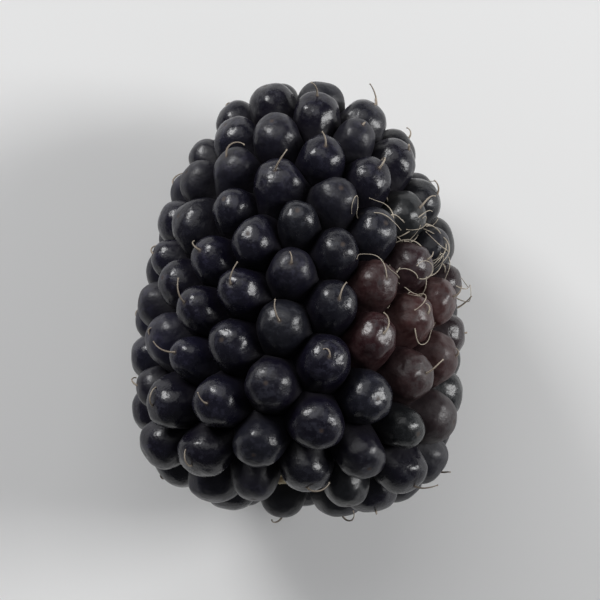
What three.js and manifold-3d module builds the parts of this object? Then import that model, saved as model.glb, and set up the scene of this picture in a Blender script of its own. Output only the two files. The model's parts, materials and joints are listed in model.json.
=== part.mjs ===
// A ripe bramble berry as picked, lying on its side with its tip towards +Y. Millimetres, +Z up.
// The fruit is a cluster of drupelets grown together, one dark body, round a pale receptacle
// whose torn end shows at the stem end.
import * as THREE from "three";
import { ConvexHull } from "three/addons/math/ConvexHull.js";
import { mergeVertices } from "three/addons/utils/BufferGeometryUtils.js";
import Module from "manifold-3d";

// Size of the whole berry, over the crowns of the drupelets
const BERRY_WIDTH = 25.6;
const BERRY_LENGTH = 33;
const WIDEST_FROM_TIP = 0.68; // share of the length

// Outline of the berry on each side of its widest ring, as superellipse exponents
const TIP_ROUNDNESS = 2.15;
const STEM_ROUNDNESS = 3.3;

// Drupelets
const DRUPELET_COUNT = 138;
const SPIRAL_TURN = Math.PI * (3 - Math.sqrt(5)); // the golden angle, from one drupelet to the next
const DRUPELET_RADIUS = 2.04; // mean half distance between the middles of two neighbours
const STEM_END_GROWTH = 0.1; // how much larger the drupelets are towards the stem end, and smaller at the tip
const SIZE_SPREAD = 0.07; // random share of the radius, either way
const CROWN_HEIGHT = 1.6; // of a drupelet's top above the crease round it
const PLUMPNESS = 2.3; // superellipse exponent of a drupelet's section
const ROUND_FROM = 0.5; // share of the crown height above which a drupelet's outline is round
const OUTLINE_ROUNDNESS = 0.65; // how far that outline goes from the shape of its cell to a circle
const OUTLINE_REACH = 0.95; // of that circle, as a share of the cell's mean reach
const HEIGHT_SPREAD = 0.08; // random share of the crown height, either way
const SEAT_SPREAD = 0.18; // random rise or fall of a whole drupelet
const CREASE_DEPTH = 0.2; // of the line where two neighbours meet, below their seats
const PIT_DEPTH = 0.95; // of the pit where three meet
const TIPWARD_LEAN = 0.2; // how far a crown leans towards the berry's tip
const LEAN_SPREAD = 0.18; // random lean, either way
const SPACING = 1.08; // room that two neighbours push for, as a share of the sum of their radii
const PUSH = 0.3; // share of what is missing of that room by which each of the two moves in a step

// The stem end, where the receptacle sits in the cluster
const STEM_CELL_RADIUS = 3.5; // half distance kept by the drupelets round the receptacle
const SOCKET_MOUTH_RADIUS = 3.1;
const SOCKET_END_RADIUS = 1.5;
const SOCKET_LENGTH = 21;
const SOCKET_NECK = 1.6; // how far in it starts to narrow
const DOME_BEND = { out: 0.7, back: 0.3 }; // half way round its domed end, as shares of the end radius
const STEM_END_BULGE = 0.55; // how far the drupelets there stand out past it, as a share of the crown height
const RECEPTACLE_GAP = 0.3;
const RECEPTACLE_RECESS = 0.5; // of the torn face, inside the mouth of the socket
const TORN_FACE = [[0, 0.35], [0.45, 0.2], [0.8, 0], [1, 0.5]]; // outwards: share of its radius, and depth

// How the berry lies: turned about its own axis and tipped so that its four lowest drupelets carry it
const ROLL_DEG = 71;
const PITCH_DEG = -9.89;
const FLATTENING = 0.25; // how far the drupelets that carry the berry are pressed flat

// Fineness
const SEED = 20817;
const RELAXING_STEPS = 240;
const PROFILE_STEPS = 600;
const CREASE_STEPS = 2; // segments of a crease between two pits
const RING_ANGLES_DEG = [64, 40, 18]; // of the rings of points up a drupelet, from its crown
const RECEPTACLE_SIDES = 20;

const seatRadius = BERRY_WIDTH / 2 - CROWN_HEIGHT;
const tipReach = BERRY_LENGTH * WIDEST_FROM_TIP - CROWN_HEIGHT;
const stemReach = BERRY_LENGTH * (1 - WIDEST_FROM_TIP) - STEM_END_BULGE * CROWN_HEIGHT;

// Numbers from 0 to 1 that are the same in each run.
function seededDraws(seed) {
  let state = seed;
  return () => {
    state = (state * 1664525 + 1013904223) % 4294967296;
    return state / 4294967296;
  };
}

// The smooth body that the drupelets sit on is turned about Y.
// A turn of 0 is its tip, and a turn of PI its stem end.
function halfOutline(turn) {
  const tipSide = turn < Math.PI / 2;
  return {
    reach: tipSide ? tipReach : stemReach,
    roundness: tipSide ? TIP_ROUNDNESS : STEM_ROUNDNESS,
    way: tipSide ? 1 : -1,
  };
}

function outlinePoint(turn) {
  const { reach, roundness, way } = halfOutline(turn);
  return {
    along: way * reach * Math.abs(Math.cos(turn)) ** (2 / roundness),
    out: seatRadius * Math.abs(Math.sin(turn)) ** (2 / roundness),
  };
}

function turnOf(point) {
  const along = point.y;
  const out = Math.hypot(point.x, point.z);
  const { reach, roundness } = halfOutline(along > 0 ? 0 : Math.PI);
  const rise = (Math.abs(along) / reach) ** (roundness / 2);
  return Math.atan2((out / seatRadius) ** (roundness / 2), Math.sign(along) * rise);
}

function onSeat(turn, azimuth) {
  const { along, out } = outlinePoint(turn);
  return new THREE.Vector3(out * Math.cos(azimuth), along, out * Math.sin(azimuth));
}

function seatNormal(point) {
  const { reach, roundness } = halfOutline(point.y > 0 ? 0 : Math.PI);
  const out = Math.hypot(point.x, point.z);
  const alongPart = (Math.sign(point.y) * (Math.abs(point.y) / reach) ** (roundness - 1)) / reach;
  const outPart = (out / seatRadius) ** (roundness - 1) / seatRadius;
  if (out < 1e-6) return new THREE.Vector3(0, Math.sign(point.y), 0);
  return new THREE.Vector3((outPart * point.x) / out, alongPart, (outPart * point.z) / out).normalize();
}

// Running area and running log-scale along the outline, from the tip: the first spaces the drupelets out
// evenly, and the second maps the body to a ball with no change of angles.
function outlineTable() {
  const rows = [{ turn: 0, area: 0, stretch: 0 }];
  let last = outlinePoint(0);
  for (let i = 1; i <= PROFILE_STEPS; i++) {
    const turn = (Math.PI * i) / PROFILE_STEPS;
    const here = outlinePoint(turn);
    const step = Math.hypot(here.along - last.along, here.out - last.out);
    const out = Math.max((here.out + last.out) / 2, 1e-3);
    const before = rows[i - 1];
    rows.push({ turn, area: before.area + 2 * Math.PI * out * step, stretch: before.stretch + step / out });
    last = here;
  }
  return rows;
}

function lookUp(rows, from, to, value) {
  const i = Math.max(1, rows.findIndex((row) => row[from] >= value));
  const share = (value - rows[i - 1][from]) / (rows[i][from] - rows[i - 1][from]);
  return rows[i - 1][to] + share * (rows[i][to] - rows[i - 1][to]);
}

// Places the drupelets on a golden-angle spiral, then lets neighbours push each other into place.
// The last one is the stem end's own cell, which stays put.
function placeDrupelets(rows) {
  const draw = seededDraws(SEED);
  const either = () => 2 * draw() - 1;
  const wholeArea = rows[PROFILE_STEPS].area - Math.PI * STEM_CELL_RADIUS ** 2;
  const cells = [];
  for (let i = 0; i < DRUPELET_COUNT; i++) {
    const share = (i + 0.5) / DRUPELET_COUNT;
    const size = 1 + STEM_END_GROWTH * (2 * share - 1) + SIZE_SPREAD * either();
    cells.push({
      radius: DRUPELET_RADIUS * size,
      height: CROWN_HEIGHT * size * (1 + HEIGHT_SPREAD * either()),
      rise: SEAT_SPREAD * either(),
      lean: [TIPWARD_LEAN + LEAN_SPREAD * either(), LEAN_SPREAD * either()],
      seat: onSeat(lookUp(rows, "area", "turn", wholeArea * share), i * SPIRAL_TURN),
    });
  }
  cells.push({ radius: STEM_CELL_RADIUS, rise: 0, seat: new THREE.Vector3(0, -stemReach, 0) });
  for (let step = 0; step < RELAXING_STEPS; step++) {
    const pushes = cells.map(() => new THREE.Vector3());
    cells.forEach((a, i) => {
      for (let j = i + 1; j < cells.length; j++) {
        const apart = new THREE.Vector3().subVectors(cells[j].seat, a.seat);
        const missing = SPACING * (a.radius + cells[j].radius) - apart.length();
        if (missing <= 0) continue;
        apart.setLength(PUSH * missing);
        pushes[i].sub(apart);
        pushes[j].add(apart);
      }
    });
    cells.slice(0, DRUPELET_COUNT).forEach((cell, i) => {
      const moved = cell.seat.add(pushes[i]);
      cell.seat = onSeat(turnOf(moved), Math.atan2(moved.z, moved.x));
    });
  }
  for (const cell of cells) {
    cell.normal = seatNormal(cell.seat);
    cell.middle = cell.seat.clone().addScaledVector(cell.normal, cell.rise);
  }
  return cells;
}

// Which drupelets touch: the corners of each face are three that meet at a pit.
function findPits(rows, cells) {
  const middle = lookUp(rows, "turn", "stretch", Math.PI / 2);
  const onBall = new Map();
  cells.forEach((cell, i) => {
    const stretch = lookUp(rows, "turn", "stretch", Math.min(turnOf(cell.seat), Math.PI - 1e-4));
    const fromStem = i === DRUPELET_COUNT ? 0 : 2 * Math.atan(Math.exp(middle - stretch));
    const latitude = fromStem - Math.PI / 2;
    const azimuth = Math.atan2(cell.seat.z, cell.seat.x);
    onBall.set(new THREE.Vector3(
      Math.cos(latitude) * Math.cos(azimuth), Math.sin(latitude), Math.cos(latitude) * Math.sin(azimuth)), i);
  });
  const hull = new ConvexHull().setFromPoints([...onBall.keys()]);
  return hull.faces.map((face) => {
    const corners = [];
    let edge = face.edge;
    do {
      corners.push(onBall.get(edge.head().point));
      edge = edge.next;
    } while (edge !== face.edge);
    return corners;
  });
}

// Collects points and faces, and turns them into a geometry.
class Skin {
  constructor() {
    this.points = [];
    this.faces = [];
  }
  point(vector) {
    this.points.push(vector);
    return this.points.length - 1;
  }
  band(lower, upper) {
    lower.forEach((a, i) => {
      const next = (i + 1) % lower.length;
      this.faces.push(a, lower[next], upper[next], a, upper[next], upper[i]);
    });
  }
  fan(loop, top) {
    loop.forEach((a, i) => this.faces.push(a, loop[(i + 1) % loop.length], top));
  }
  geometry() {
    const made = new THREE.BufferGeometry().setFromPoints(this.points);
    return made.setIndex(this.faces);
  }
}

// The creases and pits: for each cell, the closed line of points round it. A crease bends from pit to pit
// as a parabola over its middle, which is its highest point.
function drawCreases(skin, cells, pits) {
  const blend = (indices, weights, depth) => {
    const at = new THREE.Vector3();
    const normal = new THREE.Vector3();
    const total = weights.reduce((a, b) => a + b);
    indices.forEach((cell, n) => {
      at.addScaledVector(cells[cell].middle, weights[n] / total);
      normal.add(cells[cell].normal);
    });
    return at.addScaledVector(normal.normalize(), -depth);
  };
  const pitPoints = pits.map((corners) =>
    skin.point(blend(corners, corners.map((c) => 1 / cells[c].radius), PIT_DEPTH)));
  const pitAfter = new Map(); // "a,b" gives the pit whose corners hold a and then b
  pits.forEach((corners, pit) => {
    corners.forEach((a, n) => pitAfter.set(`${a},${corners[(n + 1) % 3]}`, pit));
  });
  const creases = new Map();
  const crease = (a, b) => {
    const key = `${a},${b}`;
    if (creases.has(key)) return creases.get(key);
    const start = pitPoints[pitAfter.get(`${b},${a}`)];
    const end = pitPoints[pitAfter.get(`${a},${b}`)];
    const middle = blend([a, b], [cells[b].radius, cells[a].radius], CREASE_DEPTH);
    const line = [start];
    for (let n = 1; n < CREASE_STEPS; n++) {
      const t = n / CREASE_STEPS;
      line.push(skin.point(new THREE.Vector3()
        .addScaledVector(skin.points[start], (1 - t) * (1 - 2 * t))
        .addScaledVector(middle, 4 * t * (1 - t))
        .addScaledVector(skin.points[end], t * (2 * t - 1))));
    }
    line.push(end);
    creases.set(key, line);
    creases.set(`${b},${a}`, [...line].reverse());
    return line;
  };
  return cells.map((_, a) => {
    const first = pits.find((corners) => corners.includes(a));
    const start = first[(first.indexOf(a) + 1) % 3];
    const loop = [];
    let b = start;
    do {
      loop.push(...crease(a, b).slice(0, -1));
      const corners = pits[pitAfter.get(`${a},${b}`)];
      b = corners[(corners.indexOf(a) + 2) % 3];
    } while (b !== start);
    return loop;
  });
}

// A drupelet swells up from the crease round it to its crown. Its wall leaves the crease square to the seat
// there, against the neighbour's wall, and its outline turns from the corners of the crease to a round one
// on the way up.
function raiseDrupelet(skin, cell, crease) {
  const tipward = new THREE.Vector3(0, 1, 0).projectOnPlane(cell.normal).normalize();
  const sideways = new THREE.Vector3().crossVectors(cell.normal, tipward);
  const crown = cell.middle.clone()
    .addScaledVector(cell.normal, cell.height)
    .addScaledVector(tipward, cell.lean[0])
    .addScaledVector(sideways, cell.lean[1]);
  const walls = crease.map((p) => {
    const edge = skin.points[p];
    const wallway = seatNormal(edge);
    const drop = new THREE.Vector3().subVectors(crown, edge).dot(cell.normal);
    const hub = crown.clone().addScaledVector(wallway, -drop / wallway.dot(cell.normal));
    return { hub, across: edge.clone().sub(hub), up: crown.clone().sub(hub) };
  });
  const meanReach = walls.reduce((sum, { across }) => sum + across.length(), 0) / walls.length;
  const rounded = walls.map(({ across }, i) => {
    const smooth = across.clone().multiplyScalar(2)
      .add(walls.at(i - 1).across)
      .add(walls[(i + 1) % walls.length].across)
      .divideScalar(4);
    const circle = smooth.clone().setLength(OUTLINE_REACH * meanReach);
    return smooth.lerp(circle, OUTLINE_ROUNDNESS).clampLength(0, across.length());
  });
  let lower = crease;
  for (const degrees of RING_ANGLES_DEG) {
    const angle = THREE.MathUtils.degToRad(degrees);
    const outward = Math.sin(angle) ** (2 / PLUMPNESS);
    const upward = Math.cos(angle) ** (2 / PLUMPNESS);
    const upper = walls.map(({ hub, across, up }, i) => skin.point(across.clone()
      .lerp(rounded[i], Math.min(1, upward / ROUND_FROM))
      .multiplyScalar(outward)
      .addScaledVector(up, upward)
      .add(hub)));
    skin.band(lower, upper);
    lower = upper;
  }
  skin.fan(lower, skin.point(crown));
}

// The socket for the receptacle, from the crease round the stem end's cell inwards.
function sinkSocket(skin, crease) {
  const mouth = -stemReach;
  const ring = (radius, along) => crease.map((p) => {
    const { x, z } = skin.points[p];
    const out = Math.hypot(x, z);
    return skin.point(new THREE.Vector3((radius * x) / out, along, (radius * z) / out));
  });
  let outer = crease;
  for (const [radius, depth] of [
    [SOCKET_MOUTH_RADIUS, SOCKET_NECK],
    [SOCKET_END_RADIUS, SOCKET_LENGTH - SOCKET_END_RADIUS],
    [DOME_BEND.out * SOCKET_END_RADIUS, SOCKET_LENGTH - DOME_BEND.back * SOCKET_END_RADIUS],
  ]) {
    const inner = ring(radius, mouth + depth);
    skin.band(outer, inner);
    outer = inner;
  }
  skin.fan(outer, skin.point(new THREE.Vector3(0, mouth + SOCKET_LENGTH, 0)));
}

function clusterGeometry() {
  const rows = outlineTable();
  const cells = placeDrupelets(rows);
  const skin = new Skin();
  const loops = drawCreases(skin, cells, findPits(rows, cells));
  loops.slice(0, DRUPELET_COUNT).forEach((loop, i) => raiseDrupelet(skin, cells[i], loop));
  sinkSocket(skin, loops[DRUPELET_COUNT]);
  return skin.geometry();
}

// The receptacle: a slim cone that fills the socket, with a torn face at the stem end.
function receptacleGeometry() {
  const mouth = -stemReach;
  const face = mouth + RECEPTACLE_RECESS;
  const base = SOCKET_MOUTH_RADIUS - RECEPTACLE_GAP;
  const end = SOCKET_END_RADIUS - RECEPTACLE_GAP;
  const last = mouth + SOCKET_LENGTH - RECEPTACLE_GAP;
  const profile = [
    ...TORN_FACE.map(([share, depth]) => [share * base, face + depth]),
    [base, mouth + SOCKET_NECK],
    [end, last - end],
    [DOME_BEND.out * end, last - DOME_BEND.back * end],
    [0, last],
  ].map(([x, y]) => new THREE.Vector2(x, y));
  return new THREE.LatheGeometry(profile, RECEPTACLE_SIDES);
}

const wasm = await Module();
wasm.setup();

function toSolid(geometry) {
  const bare = geometry.clone();
  bare.deleteAttribute("normal");
  bare.deleteAttribute("uv");
  const merged = mergeVertices(bare, 1e-4);
  return new wasm.Manifold(new wasm.Mesh({
    numProp: 3,
    vertProperties: new Float32Array(merged.attributes.position.array),
    triVerts: new Uint32Array(merged.index.array),
  }));
}

function toGeometry(solid) {
  const { vertProperties, triVerts } = solid.getMesh();
  const geometry = new THREE.BufferGeometry();
  geometry.setAttribute("position", new THREE.BufferAttribute(new Float32Array(vertProperties), 3));
  geometry.setIndex(new THREE.BufferAttribute(new Uint32Array(triVerts), 1));
  geometry.computeVertexNormals();
  return geometry;
}

const drupeletSkin = new THREE.MeshStandardMaterial({ color: 0x17141d, roughness: 0.32, metalness: 0 });
const receptacleFlesh = new THREE.MeshStandardMaterial({ color: 0xc9b183, roughness: 0.8, metalness: 0 });

const drupelets = new THREE.Mesh(clusterGeometry(), drupeletSkin);
drupelets.name = "drupelets";
const receptacle = new THREE.Mesh(receptacleGeometry(), receptacleFlesh);
receptacle.name = "receptacle";

// Lay the berry down: its box is centred on the origin in plan, and its lowest crowns are pressed flat
// at Z = 0.
const berry = new THREE.Group();
berry.add(drupelets, receptacle);
berry.rotation.order = "XYZ";
berry.rotation.set(THREE.MathUtils.degToRad(PITCH_DEG), THREE.MathUtils.degToRad(ROLL_DEG), 0);
const box = new THREE.Box3().setFromObject(berry, true);
const middle = box.getCenter(new THREE.Vector3());
berry.position.set(-middle.x, -middle.y, -box.min.z - FLATTENING);
berry.updateMatrixWorld(true);

const slab = new THREE.BoxGeometry(2 * BERRY_LENGTH, 2 * BERRY_LENGTH, BERRY_LENGTH);
slab.translate(0, 0, -BERRY_LENGTH / 2);
slab.applyMatrix4(berry.matrixWorld.clone().invert());
drupelets.geometry = toGeometry(toSolid(drupelets.geometry).subtract(toSolid(slab)));

const part = new THREE.Group();
part.add(berry);

export default part;
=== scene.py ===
"""A ripe bramble berry lying on a pale floor, seen from straight above."""

import json
import math
import random

import bmesh
import bpy
import numpy as np
from mathutils import Matrix, Quaternion, Vector, bvhtree, kdtree, noise

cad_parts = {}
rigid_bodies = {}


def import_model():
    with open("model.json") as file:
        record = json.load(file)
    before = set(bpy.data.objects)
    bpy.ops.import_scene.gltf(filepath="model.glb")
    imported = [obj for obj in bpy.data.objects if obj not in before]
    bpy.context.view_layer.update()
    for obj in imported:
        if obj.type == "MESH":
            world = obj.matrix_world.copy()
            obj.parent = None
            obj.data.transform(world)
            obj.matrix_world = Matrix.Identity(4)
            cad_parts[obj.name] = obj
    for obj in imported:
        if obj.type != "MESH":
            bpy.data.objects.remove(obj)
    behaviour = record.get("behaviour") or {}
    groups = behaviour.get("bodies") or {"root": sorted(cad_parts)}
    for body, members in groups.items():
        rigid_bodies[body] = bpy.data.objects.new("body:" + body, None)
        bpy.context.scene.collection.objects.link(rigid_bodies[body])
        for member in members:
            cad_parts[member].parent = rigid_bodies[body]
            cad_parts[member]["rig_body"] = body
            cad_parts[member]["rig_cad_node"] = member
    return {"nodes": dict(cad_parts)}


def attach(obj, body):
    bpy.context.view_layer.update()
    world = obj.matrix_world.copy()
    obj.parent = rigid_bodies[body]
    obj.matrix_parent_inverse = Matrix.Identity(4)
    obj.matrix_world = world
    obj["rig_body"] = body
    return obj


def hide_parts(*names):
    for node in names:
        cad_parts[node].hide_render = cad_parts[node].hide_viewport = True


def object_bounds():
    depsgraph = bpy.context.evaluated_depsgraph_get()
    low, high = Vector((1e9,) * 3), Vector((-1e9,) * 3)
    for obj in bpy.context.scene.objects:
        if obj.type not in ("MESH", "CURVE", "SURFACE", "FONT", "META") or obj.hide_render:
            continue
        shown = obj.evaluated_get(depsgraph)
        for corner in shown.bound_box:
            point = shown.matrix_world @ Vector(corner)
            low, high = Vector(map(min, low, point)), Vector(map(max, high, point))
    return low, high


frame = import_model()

MM = 0.001
CAD_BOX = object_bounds()
LOW, HIGH = (Vector(corner) for corner in CAD_BOX)
MIDDLE = (LOW + HIGH) / 2
SEED = 418

# The stage
FLOOR_SIZE = 4
WIDTH_SEEN = 46 * MM  # across the picture, at the middle of the berry
CAMERA_ROLL = math.radians(2.5)  # brings the tip a little to the right in the picture

# The drupelets
FLOOR_TOUCH = 0.001 * MM  # a point this close to the floor rests on it
MERGE_WITHIN = 0.002 * MM
CROWN_NEIGHBOURS = 9  # a crown or the socket's end has more edges than this, and no other point has
CREASE_STEPS = 4  # edges from a crown down to the crease
ON_CREASE = 0.001  # a point with a smaller rise than this is on the crease
PATCH_ANGLE = math.radians(70)  # faces that meet at a smaller angle are made fours, and shaded as one
SMOOTHING_PASSES = 5
LUMPS_PER_MM = 1.1
SKIN_LUMPS = 0.055 * MM  # how uneven a drupelet is
LUMPS_FULL_AT = 1 * MM  # this far from the crown, lumps reach their full height
SCAR_RADIUS = 0.2 * MM
DIMPLE_DEPTH = 0.035 * MM
FLOOR_FADE = 0.5 * MM  # lumps and dimples fade out this close to the floor

# The side that ripened last: a soft wine-red patch on the upper right, a little below the middle
LATE_PATCH = MIDDLE + Vector((0.78 * HIGH.x, -0.05 * (HIGH.y - LOW.y), 0.22 * HIGH.z))
LATE_REACH = 8.3 * MM
LATE_STEEPNESS = 1.8  # how fast it gets later from the edge of the patch inwards
LATE_SCATTER = (-0.4, 0.3)  # from one drupelet to the next
LATE_LUMPS = 0.13 * MM  # how much more uneven the drupelets are there

# The skin's cast, from 0 for blue to 1 for grey-green, and its dullness
CAST_SPREAD = 0.5  # from one drupelet to the next
CAST_LEAST = 0.25  # half way between the left side and the right
CAST_TO_RIGHT = 0.35  # and this much more on the right side
DULL_POWER = 3  # leaves most drupelets shiny and a few dull

# Every thread, with thicknesses as shares of its radius
ROOT_THICKNESS = 1.5
TAPER = 0.9
TIP_THICKNESS = 1.3
THREAD_CLEARANCE = 0.45 * MM  # how far it may stand out of the CAD box

# The dry styles, with angles in radians
STYLE_SHARE = 0.58
STYLE_LENGTHS = (0.7 * MM, 2.2 * MM)
STYLE_RADIUS = 0.055 * MM
STYLE_STEPS = 12
STYLE_ROOT = 0.12 * MM  # how deep it starts in the skin
STYLE_TURN = 0.8  # spread of the way it leans, round the direction of the berry's tip
STYLE_LEANS = (0.2, 1.0)  # to its side, as a share of its rise
STYLE_CURLS = (0.05, 0.28)  # at each step
STYLE_SWAY = 0.16  # at each step, either way
BARE_BELOW = 4 * MM  # no styles near the floor

# Loose threads, caught on the right side a little above the middle, with angles in radians
TANGLE = MIDDLE + Vector((0.80 * HIGH.x, 0.15 * (HIGH.y - LOW.y), 0.18 * HIGH.z))
TANGLE_SPREAD = 3.15 * MM
CAUGHT_COUNT = 44
CAUGHT_LENGTHS = (1.6 * MM, 4.5 * MM)
CAUGHT_STEP = 0.14 * MM
CAUGHT_RADIUS = 0.031 * MM
CAUGHT_ROOT = 0.05 * MM  # how deep it starts in the skin
CAUGHT_SETTLING = 0.10  # how far it comes down at each step, as a share of the step
CAUGHT_TURN = 0.07  # spread of its first turn
CAUGHT_DRIFT = 0.025  # spread of the change of that turn at each step
CAUGHT_SMOOTHING = 4  # passes that round the kinks of a thread

# The receptacle, with sizes as shares of its radius
CORE_SIDES = 36
CORE_TIP = 0.35
FACING_DOWN = -0.9  # the normal of its torn end has a smaller Z than this, and the others a larger one
COLLAR_REACH = 1.42  # of the edge of its torn end, which is hidden between the drupelets
COLLAR_DEPTH = 0.42  # of that edge, in from the torn face
TORN_STEPS = (  # inwards from that edge: how far in, and how far sunk
    (0.20, -0.14), (0.20, -0.12), (0.14, -0.08), (0.12, 0.02),
    (0.16, 0.09), (0.18, 0.11), (0.18, 0.04), (0.12, -0.02),
)
HEART_TONE = 1.3  # how brown it is at the middle, where 1 is fully brown
HEART_FADE = 1.45  # how much of that is lost from the middle out to the radius
BUNDLE_RING = 0.62  # where the sap bundles leave their pits
BUNDLE_WIDTH = 0.12  # of the ring of pits

# The relief of its torn end, in millimetres
TORN_FADE = 2.5  # how far in the relief goes
STRAND_HEIGHT = 0.22
CRUMB_HEIGHT = 0.12
BUNDLE_DEPTH = 0.16
CRUMBS_PER_MM = 5.0
STRANDS_ROUND = 4.5
STRANDS_OUTWARD = 1.1
BUNDLE_COUNT = 11
BUNDLE_WANDER = 1.5


def clamp(value):
    return min(1, max(0, value))


def only(piece):
    """Selects one object and makes it the active one."""
    bpy.ops.object.select_all(action="DESELECT")
    piece.select_set(True)
    bpy.context.view_layer.objects.active = piece


def finish_with(piece, kind, **settings):
    """Adds a modifier to a piece and applies it."""
    only(piece)
    modifier = piece.modifiers.new(kind.title(), kind)
    for name, value in settings.items():
        setattr(modifier, name, value)
    bpy.ops.object.modifier_apply(modifier=modifier.name)


# The stage

def set_camera():
    """Straight above the berry, with its tip up in the picture and a little to the right."""
    data = bpy.data.cameras.new("camera")
    data.lens = 300
    data.sensor_width = 36
    data.clip_start = 0.01
    data.clip_end = 10
    camera = bpy.data.objects.new("camera", data)
    bpy.context.scene.collection.objects.link(camera)
    distance = WIDTH_SEEN * data.lens / data.sensor_width
    camera.location = MIDDLE + Vector((0, 0, distance))
    camera.rotation_euler.z = CAMERA_ROLL
    bpy.context.scene.camera = camera


def lay_floor():
    bpy.ops.mesh.primitive_plane_add(size=FLOOR_SIZE, location=(0, 0, 0))
    floor = bpy.context.object
    floor.name = "floor"
    floor.data.materials.append(floor_paper())


def add_light(name, place, width, height, power):
    data = bpy.data.lights.new(name, "AREA")
    data.shape = "RECTANGLE"
    data.size = width
    data.size_y = height
    data.energy = power
    light = bpy.data.objects.new(name, data)
    bpy.context.scene.collection.objects.link(light)
    light.location = place
    light.rotation_euler = (MIDDLE - light.location).to_track_quat("-Z", "Y").to_euler()


def light_studio():
    """Low soft boxes at the upper left and the right, a wide one high beyond the tip, and a faint room."""
    add_light("upper_left_box", place=(-0.24, 0.28, 0.21), width=0.14, height=0.14, power=1.2)
    add_light("right_strip", place=(0.36, 0.06, 0.19), width=0.13, height=0.26, power=1.4)
    add_light("overhead_box", place=(-0.1, 0.6, 0.65), width=0.8, height=0.8, power=2.2)
    world = bpy.data.worlds.new("studio")
    world.use_nodes = True
    background = world.node_tree.nodes["Background"]
    background.inputs["Color"].default_value = (0.90, 0.92, 1.0, 1)
    background.inputs["Strength"].default_value = 0.10
    bpy.context.scene.world = world
    bpy.context.scene.view_settings.view_transform = "Standard"


# Shader maths

class Wire:
    """A shader socket that Python's own signs work on."""

    def __init__(self, paint, socket):
        self.paint = paint
        self.socket = socket

    def maths(self, operation, *terms):
        return self.paint.node("ShaderNodeMath", {"operation": operation}, dict(enumerate(terms)))

    def __add__(self, other):
        return self.maths("ADD", self, other)

    def __radd__(self, other):
        return self.maths("ADD", other, self)

    def __mul__(self, other):
        return self.maths("MULTIPLY", self, other)

    def __rmul__(self, other):
        return self.maths("MULTIPLY", other, self)

    def between(self, low, high):
        """0 at low and 1 at high, in either order, and smooth in between."""
        ends = {"Value": self, "From Min": low, "From Max": high}
        return self.paint.node("ShaderNodeMapRange", {"interpolation_type": "SMOOTHSTEP"}, ends)


class Paint:
    """A material made of shader nodes."""

    def __init__(self, name):
        self.material = bpy.data.materials.new(name)
        self.material.use_nodes = True
        self.tree = self.material.node_tree
        self.tree.nodes.clear()

    def node(self, kind, settings=None, sockets=None, output=0):
        made = self.tree.nodes.new(kind)
        for name, value in (settings or {}).items():
            setattr(made, name, value)
        for name, value in (sockets or {}).items():
            if isinstance(value, Wire):
                self.tree.links.new(value.socket, made.inputs[name])
            else:
                made.inputs[name].default_value = value
        return Wire(self, made.outputs[output])

    def noise(self, per_mm, detail=3, roughness=0.5):
        place = self.node("ShaderNodeTexCoord", output="Object")
        sockets = {"Vector": place, "Scale": per_mm / MM, "Detail": detail, "Roughness": roughness}
        return self.node("ShaderNodeTexNoise", sockets=sockets)

    def mix(self, share, first, second):
        """Share 0 gives the first colour, and 1 the second."""
        return self.node("ShaderNodeMix", {"data_type": "RGBA"}, {0: share, 6: first, 7: second}, output=2)

    def mark(self, name):
        """One of the piece's own attributes."""
        return self.node("ShaderNodeAttribute", {"attribute_name": name}, output="Fac")

    def bump(self, height, depth, strength, under=None):
        sockets = {"Height": height, "Distance": depth, "Strength": strength}
        if under:
            sockets["Normal"] = under
        return self.node("ShaderNodeBump", sockets=sockets)

    def surface(self, **sockets):
        named = {name.replace("_", " "): value for name, value in sockets.items()}
        shader = self.node("ShaderNodeBsdfPrincipled", sockets=named)
        end = self.tree.nodes.new("ShaderNodeOutputMaterial")
        self.tree.links.new(shader.socket, end.inputs["Surface"])
        return self.material


def colour(red, green, blue):
    return (red, green, blue, 1)


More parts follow.
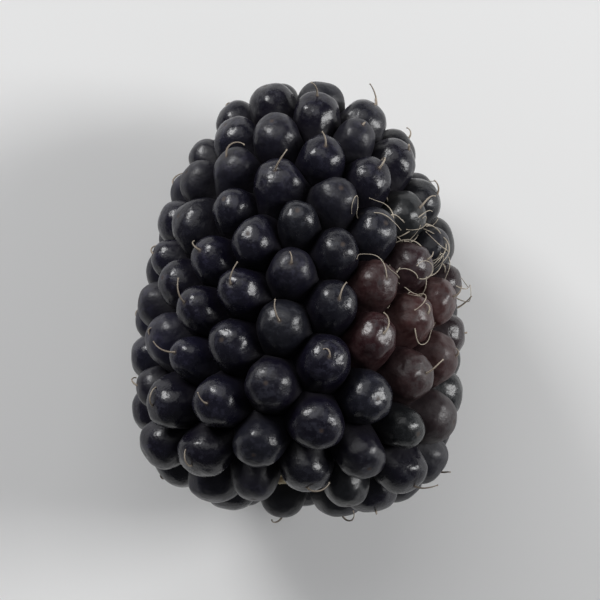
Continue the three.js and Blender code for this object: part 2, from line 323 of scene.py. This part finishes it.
def ripe_skin():
    """Taut blue-black to wine-red skin, with mottled bloom, painted shade in the creases and on the flanks
    below the crowns, and brown scars on the crowns.
    """
    paint = Paint("ripe_skin")
    rise = paint.mark("rise")
    cast = paint.mark("cast")
    lateness = paint.mark("lateness")
    clouds = paint.noise(1.1, detail=4)
    flecks = paint.noise(2.0, detail=4, roughness=0.6)

    paler = paint.mix(cast, colour(0.0062, 0.0057, 0.0150), colour(0.0080, 0.0089, 0.0085))
    ink = paint.mix(paint.mark("shade"), colour(0.0032, 0.0024, 0.0070), paler)
    blush = clouds.between(0.3, 0.7) * 0.5 + flecks.between(0.42, 0.6) * 0.5
    wine = paint.mix(blush, colour(0.030, 0.007, 0.007), colour(0.074, 0.038, 0.035))
    flesh = paint.mix(lateness, ink, wine)

    mottling = clouds.between(0.25, 0.75) * 0.12 + flecks.between(0.47, 0.62) * 0.45
    dust = paint.mix(cast, colour(0.029, 0.027, 0.053), colour(0.034, 0.037, 0.037))
    # The mottled bloom is the skin's own, but fading it out from the crown down to the crease paints the
    # flanks darker as shade
    bloom_and_painted_shade = paint.mix(rise.between(0.1, 0.8) * mottling, flesh, dust)
    # Painted shade: the skin is darkened towards the crease between drupelets, to near black, or dark red
    # on the late side
    painted_crease_shade = paint.mix(lateness, colour(0.0020, 0.0010, 0.0032), colour(0.020, 0.004, 0.005))
    shaded_in_creases = paint.mix(rise.between(0.30, 0.0) * 0.75, bloom_and_painted_shade, painted_crease_shade)
    scar = paint.mark("from_crown").between(0.30, 0.10)
    scarred = paint.mix(scar * 0.6, shaded_in_creases, colour(0.048, 0.028, 0.017))

    grain = paint.noise(6.0, detail=4, roughness=0.6)
    taut = 0.17 + grain * 0.08 + clouds * 0.10 + paint.mark("dullness") * 0.20
    roughness = taut + scar * 0.25 + rise.between(0.35, 0.05) * 0.25
    wrinkles = paint.bump(paint.noise(1.7, detail=2), 0.2 * MM, 0.3)
    relief = paint.bump(grain, 0.02 * MM, 0.35, under=wrinkles)
    return paint.surface(Base_Color=scarred, Roughness=roughness, IOR=1.45, Normal=relief)


def dry_thread(name, dark, pale):
    paint = Paint(name)
    tint = paint.mix(paint.noise(0.9), dark, pale)
    return paint.surface(Base_Color=tint, Roughness=0.55)


def torn_flesh():
    """The receptacle: cream fibres, brown in the sunken heart and where they are bruised."""
    paint = Paint("torn_flesh")
    fibres = paint.noise(2.2, detail=5, roughness=0.65)
    bruise = paint.noise(0.6, detail=3)
    pale = paint.mix(fibres, colour(0.44, 0.35, 0.19), colour(0.74, 0.65, 0.44))
    brown = paint.mix(fibres, colour(0.09, 0.05, 0.014), colour(0.30, 0.20, 0.08))
    browned = (paint.mark("heart") + bruise.between(0.5, 0.75) * 0.6).between(0.15, 0.95)
    tint = paint.mix(browned, pale, brown)
    return paint.surface(Base_Color=tint, Roughness=0.75, Normal=paint.bump(fibres, 0.15 * MM, 0.6))


def floor_paper():
    paint = Paint("floor_paper")
    tint = paint.mix(paint.noise(0.02), colour(0.78, 0.78, 0.775), colour(0.82, 0.82, 0.815))
    return paint.surface(Base_Color=tint, Roughness=0.7)


# The drupelets

def copy_node(name, new_name):
    """A merged copy of a CAD node, free of its marks, as the start of a finer piece."""
    only(frame["nodes"][name])
    bpy.ops.object.duplicate()
    piece = bpy.context.object
    piece.name = new_name
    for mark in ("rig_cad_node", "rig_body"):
        if mark in piece:
            del piece[mark]
    piece.data.materials.clear()
    bpy.ops.object.mode_set(mode="EDIT")
    bpy.ops.mesh.select_all(action="SELECT")
    bpy.ops.mesh.remove_doubles(threshold=MERGE_WITHIN)
    bpy.ops.object.mode_set(mode="OBJECT")
    if piece.data.has_custom_normals:
        bpy.ops.mesh.customdata_custom_splitnormals_clear()
    return piece


def touches_floor(vertex):
    return vertex.co.z < LOW.z + FLOOR_TOUCH


def fan_flats(bm):
    """Gives each flat spot on the floor even faces round one middle point."""
    flat = [f for f in bm.faces if all(touches_floor(v) for v in f.verts)]
    spots = bmesh.ops.dissolve_faces(bm, faces=flat)["region"]
    bmesh.ops.poke(bm, faces=spots)


def find_crowns(bm):
    """The top point of each drupelet, or all the points of its flat spot where it rests on the floor."""
    # A dict keeps the mesh's order, and a set would give another one in each run
    on_floor = dict.fromkeys(v for v in bm.verts if touches_floor(v))
    crowns = [[v] for v in bm.verts if len(v.link_edges) > CROWN_NEIGHBOURS and v not in on_floor]
    while on_floor:
        spot = [on_floor.popitem()[0]]
        for vertex in spot:
            for edge in vertex.link_edges:
                beyond = edge.other_vert(vertex)
                if beyond in on_floor:
                    del on_floor[beyond]
                    spot.append(beyond)
        crowns.append(spot)
    return crowns


def mark_drupelets(piece):
    """Marks each face with its drupelet, and each point with its rise over the crease, up to 1 at a crown.

    Gives back each crown's place and direction.
    """
    bm = bmesh.new()
    bm.from_mesh(piece.data)
    drupelet = bm.faces.layers.int.new("drupelet")
    rise = bm.verts.layers.float.new("rise")
    fan_flats(bm)
    crowns = find_crowns(bm)
    owner = {v: number for number, crown in enumerate(crowns) for v in crown}
    reached = list(owner)
    steps = dict.fromkeys(reached, 0)
    for vertex in reached:
        for edge in vertex.link_edges:
            beyond = edge.other_vert(vertex)
            if beyond not in owner:
                owner[beyond] = owner[vertex]
                steps[beyond] = steps[vertex] + 1
                reached.append(beyond)
    for vertex in bm.verts:
        vertex[rise] = 1 - min(steps[vertex], CREASE_STEPS) / CREASE_STEPS
    for face in bm.faces:
        face[drupelet] = owner[min(face.verts, key=steps.get)]
    places = []
    for crown in crowns:
        middle = sum((v.co for v in crown), Vector()) / len(crown)
        places.append((middle, crown[0].normal.copy()))
    bm.to_mesh(piece.data)
    bm.free()
    return places


def smooth_drupelets(piece):
    """Makes the skin fine and round, but keeps the creases where they are."""
    bpy.ops.object.mode_set(mode="EDIT")
    bpy.ops.mesh.select_all(action="SELECT")
    bpy.ops.mesh.tris_convert_to_quads(face_threshold=PATCH_ANGLE, shape_threshold=PATCH_ANGLE)
    bpy.ops.object.mode_set(mode="OBJECT")
    free = piece.vertex_groups.new(name="free_skin")
    creases = piece.data.attributes.new("crease_edge", "FLOAT", "EDGE")
    rise = [mark.value for mark in piece.data.attributes["rise"].data]
    for vertex, height in enumerate(rise):
        if height > 0:
            free.add([vertex], 1, "REPLACE")
    for edge in piece.data.edges:
        if all(rise[v] == 0 for v in edge.vertices):
            creases.data[edge.index].value = 1
    finish_with(piece, "SUBSURF", levels=2, render_levels=2)
    finish_with(piece, "SMOOTH", factor=0.5, iterations=SMOOTHING_PASSES, vertex_group="free_skin")
    bpy.ops.object.shade_smooth_by_angle(angle=PATCH_ANGLE)
    rise = [mark.value for mark in piece.data.attributes["rise"].data]
    for edge in piece.data.edges:
        if all(rise[v] < ON_CREASE for v in edge.vertices):
            edge.use_edge_sharp = True


def draw_ripeness(crowns):
    """How late, pale, dull and grey-green each drupelet is, from 0 to 1."""
    draw = random.Random(SEED)
    lateness = []
    for place, _ in crowns:
        inside = 1 - (place - LATE_PATCH).length / LATE_REACH
        lateness.append(clamp(LATE_STEEPNESS * inside + draw.uniform(*LATE_SCATTER)) if inside > 0 else 0)
    shades = [draw.random() for _ in crowns]
    dullness = [draw.random() ** DULL_POWER for _ in crowns]
    casts = []
    for place, _ in crowns:
        casts.append(clamp(CAST_SPREAD * draw.random() + CAST_LEAST + CAST_TO_RIGHT * place.x / HIGH.x))
    return {"lateness": lateness, "shade": shades, "dullness": dullness, "cast": casts}


def mark_ripeness(mesh, ripeness):
    """Marks each face with the ripeness of its drupelet."""
    numbers = np.zeros(len(mesh.polygons), np.int32)
    mesh.attributes["drupelet"].data.foreach_get("value", numbers)
    for name, values in ripeness.items():
        mark = mesh.attributes.new(name, "FLOAT", "FACE")
        mark.data.foreach_set("value", np.asarray(values, np.float32)[numbers])


def fill_out(mesh, crowns, lateness):
    """Gives each drupelet lumps and a dimple at its crown, and marks each point's distance from there."""
    tree = kdtree.KDTree(len(crowns))
    for number, (place, _) in enumerate(crowns):
        tree.insert(place, number)
    tree.balance()
    away = mesh.attributes.new("from_crown", "FLOAT", "POINT")
    normals = [v.normal.copy() for v in mesh.vertices]
    for vertex, normal in zip(mesh.vertices, normals):
        _, number, distance = tree.find(vertex.co)
        away.data[vertex.index].value = distance / MM
        unevenness = SKIN_LUMPS + LATE_LUMPS * lateness[number]
        lump = noise.noise(LUMPS_PER_MM * vertex.co / MM)
        dimple = DIMPLE_DEPTH * math.exp(-((distance / SCAR_RADIUS) ** 2))
        off_floor = min(1, (vertex.co.z - LOW.z) / FLOOR_FADE)
        vertex.co += normal * off_floor * (unevenness * lump * min(1, distance / LUMPS_FULL_AT) - dimple)


def make_drupelets():
    piece = copy_node("drupelets", "drupelet_cluster")
    crowns = mark_drupelets(piece)
    smooth_drupelets(piece)
    ripeness = draw_ripeness(crowns)
    mark_ripeness(piece.data, ripeness)
    fill_out(piece.data, crowns, ripeness["lateness"])
    piece.data.materials.append(ripe_skin())
    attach(piece, "root")
    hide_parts("drupelets")
    return piece, crowns


# The threads

def stays_inside(path):
    return all(
        low - THREAD_CLEARANCE < at < high + THREAD_CLEARANCE
        for point in path for low, at, high in zip(LOW, point, HIGH)
    )


def spin_threads(name, paths, radius, material):
    """One piece of thin round threads, each thickest at its root and with a small knob at its tip."""
    data = bpy.data.curves.new(name, "CURVE")
    data.dimensions = "3D"
    data.bevel_depth = radius
    data.bevel_resolution = 1
    data.use_fill_caps = True
    for path in paths:
        spline = data.splines.new("POLY")
        spline.points.add(len(path) - 1)
        for number, (knot, at) in enumerate(zip(spline.points, path)):
            knot.co = (*at, 1)
            knot.radius = ROOT_THICKNESS - TAPER * number / len(path)
        spline.points[-1].radius = TIP_THICKNESS
    threads = bpy.data.objects.new(name, data)
    bpy.context.scene.collection.objects.link(threads)
    only(threads)
    bpy.ops.object.convert(target="MESH")
    bpy.ops.object.shade_smooth()
    threads.data.materials.clear()
    threads.data.materials.append(material)
    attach(threads, "root")


def style_path(place, normal, draw):
    """One dry style: it rises from its crown, and curls over towards the berry's tip or to one side."""
    tipward = (Vector((0, 1, 0)) - normal * normal.y).normalized()
    side = normal.cross(tipward)
    bearing = draw.gauss(0, STYLE_TURN)
    lying = tipward * math.cos(bearing) + side * math.sin(bearing)
    heading = (normal + lying * draw.uniform(*STYLE_LEANS)).normalized()
    curl = Quaternion(normal.cross(lying).normalized(), draw.uniform(*STYLE_CURLS))
    sway = Quaternion(normal, draw.uniform(-STYLE_SWAY, STYLE_SWAY))
    step = draw.uniform(*STYLE_LENGTHS) / STYLE_STEPS
    path = [place - normal * STYLE_ROOT]
    for _ in range(STYLE_STEPS):
        path.append(path[-1] + heading * step)
        heading = (sway @ (curl @ heading)).normalized()
    return path


def make_styles(crowns):
    draw = random.Random(SEED + 1)
    paths = []
    for place, normal in crowns:
        path = style_path(place, normal, draw)
        if draw.random() < STYLE_SHARE and place.z > BARE_BELOW and stays_inside(path):
            paths.append(path)
    straw = dry_thread("dry_thread", dark=colour(0.12, 0.085, 0.062), pale=colour(0.40, 0.35, 0.28))
    spin_threads("styles", paths, STYLE_RADIUS, straw)


def caught_path(skin, aim, draw):
    """A loose thread over the drupelets. It starts on the skin, in one direction from the middle."""
    at, normal, _, _ = skin.ray_cast(MIDDLE + aim * HIGH.length, -aim)
    heading = normal.orthogonal().normalized()
    heading.rotate(Quaternion(normal, draw.uniform(-math.pi, math.pi)))
    turn = draw.gauss(0, CAUGHT_TURN)
    path = [at - normal * CAUGHT_ROOT]
    for _ in range(round(draw.uniform(*CAUGHT_LENGTHS) / CAUGHT_STEP)):
        beyond = path[-1] + heading * CAUGHT_STEP
        at, normal, _, _ = skin.find_nearest(beyond)
        height = (beyond - at).dot(normal)
        if height < CAUGHT_RADIUS:
            beyond = at + normal * CAUGHT_RADIUS
        else:
            beyond -= normal * min(CAUGHT_SETTLING * CAUGHT_STEP, height - CAUGHT_RADIUS)
        heading = (beyond - path[-1]).normalized()
        turn += draw.gauss(0, CAUGHT_DRIFT)
        heading.rotate(Quaternion(normal, turn))
        path.append(beyond)
    for _ in range(CAUGHT_SMOOTHING):
        path[1:-1] = [(a + 2 * b + c) / 4 for a, b, c in zip(path, path[1:], path[2:])]
    return path


def catch_threads(cluster):
    draw = random.Random(SEED + 2)
    skin = bvhtree.BVHTree.FromObject(cluster, bpy.context.evaluated_depsgraph_get())
    paths = []
    while len(paths) < CAUGHT_COUNT:
        scatter = Vector([draw.gauss(0, TANGLE_SPREAD) for _ in range(3)])
        path = caught_path(skin, (TANGLE + scatter - MIDDLE).normalized(), draw)
        if stays_inside(path):
            paths.append(path)
    bleached = dry_thread("pale_thread", dark=colour(0.20, 0.16, 0.12), pale=colour(0.52, 0.47, 0.38))
    spin_threads("caught_threads", paths, CAUGHT_RADIUS, bleached)


# The receptacle

def receptacle_line():
    """The middle of its torn end, the direction to its other end, and its length and radius."""
    points = np.array([v.co for v in frame["nodes"]["receptacle"].data.vertices])
    centre = points.mean(axis=0)
    axis = np.linalg.svd(points - centre)[2][0]
    axis *= math.copysign(1, axis[1])
    along = (points - centre) @ axis
    off_axis = np.linalg.norm(points - centre - np.outer(along, axis), axis=1)
    return Vector(centre + axis * along.min()), Vector(axis), float(np.ptp(along)), float(off_axis.max())


def shape_core(length, radius):
    """A slim cone that stands on its torn end.

    That end flares out between the drupelets, and has a sunken heart.
    """
    bpy.ops.object.select_all(action="DESELECT")
    bpy.ops.mesh.primitive_cone_add(
        vertices=CORE_SIDES, radius1=COLLAR_REACH * radius, radius2=CORE_TIP * radius,
        depth=length - COLLAR_DEPTH * radius, location=(0, 0, (length + COLLAR_DEPTH * radius) / 2))
    piece = bpy.context.object
    piece.name = "receptacle_core"
    bpy.ops.object.transform_apply(location=True)
    bpy.ops.object.mode_set(mode="EDIT")
    bpy.ops.mesh.select_mode(type="FACE")
    bpy.ops.mesh.select_all(action="DESELECT")
    bpy.ops.object.mode_set(mode="OBJECT")
    for face in piece.data.polygons:
        face.select = face.normal.z < FACING_DOWN
    bpy.ops.object.mode_set(mode="EDIT")
    for inset, sink in TORN_STEPS:
        bpy.ops.mesh.inset(thickness=inset * radius)
        bpy.ops.transform.translate(value=(0, 0, sink * radius))
    bpy.ops.mesh.poke()
    bpy.ops.object.mode_set(mode="OBJECT")
    finish_with(piece, "SUBSURF", levels=3, render_levels=3)
    return piece


def fray(mesh, radius):
    """Gives the torn end its strands, crumbs and a ring of pits, and marks its brown heart."""
    heart = mesh.attributes.new("heart", "FLOAT", "POINT")
    for vertex in mesh.vertices:
        at = vertex.co / MM
        out = at.xy.length / (radius / MM)
        bearing = math.atan2(at.y, at.x)
        torn = max(0, 1 - at.z / TORN_FADE)
        round_end = (STRANDS_ROUND * math.cos(bearing), STRANDS_ROUND * math.sin(bearing))
        strand = noise.noise(Vector((*round_end, STRANDS_OUTWARD * out)))
        on_ring = math.exp(-(((out - BUNDLE_RING) / BUNDLE_WIDTH) ** 2))
        pit = on_ring * max(0, math.sin(BUNDLE_COUNT * bearing + BUNDLE_WANDER * strand))
        crumb = noise.noise(CRUMBS_PER_MM * at)
        relief = STRAND_HEIGHT * strand * out + CRUMB_HEIGHT * crumb - BUNDLE_DEPTH * pit
        vertex.co.z += torn * relief * MM
        heart.data[vertex.index].value = clamp(HEART_TONE - HEART_FADE * out)


def make_receptacle():
    torn_end, axis, length, radius = receptacle_line()
    piece = shape_core(length, radius)
    fray(piece.data, radius)
    piece.matrix_world = Matrix.Translation(torn_end) @ axis.to_track_quat("Z", "Y").to_matrix().to_4x4()
    only(piece)
    bpy.ops.object.transform_apply()
    bpy.ops.object.shade_smooth()
    piece.data.materials.append(torn_flesh())
    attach(piece, "root")
    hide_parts("receptacle")


set_camera()
lay_floor()
light_studio()
cluster, crowns = make_drupelets()
make_styles(crowns)
catch_threads(cluster)
make_receptacle()
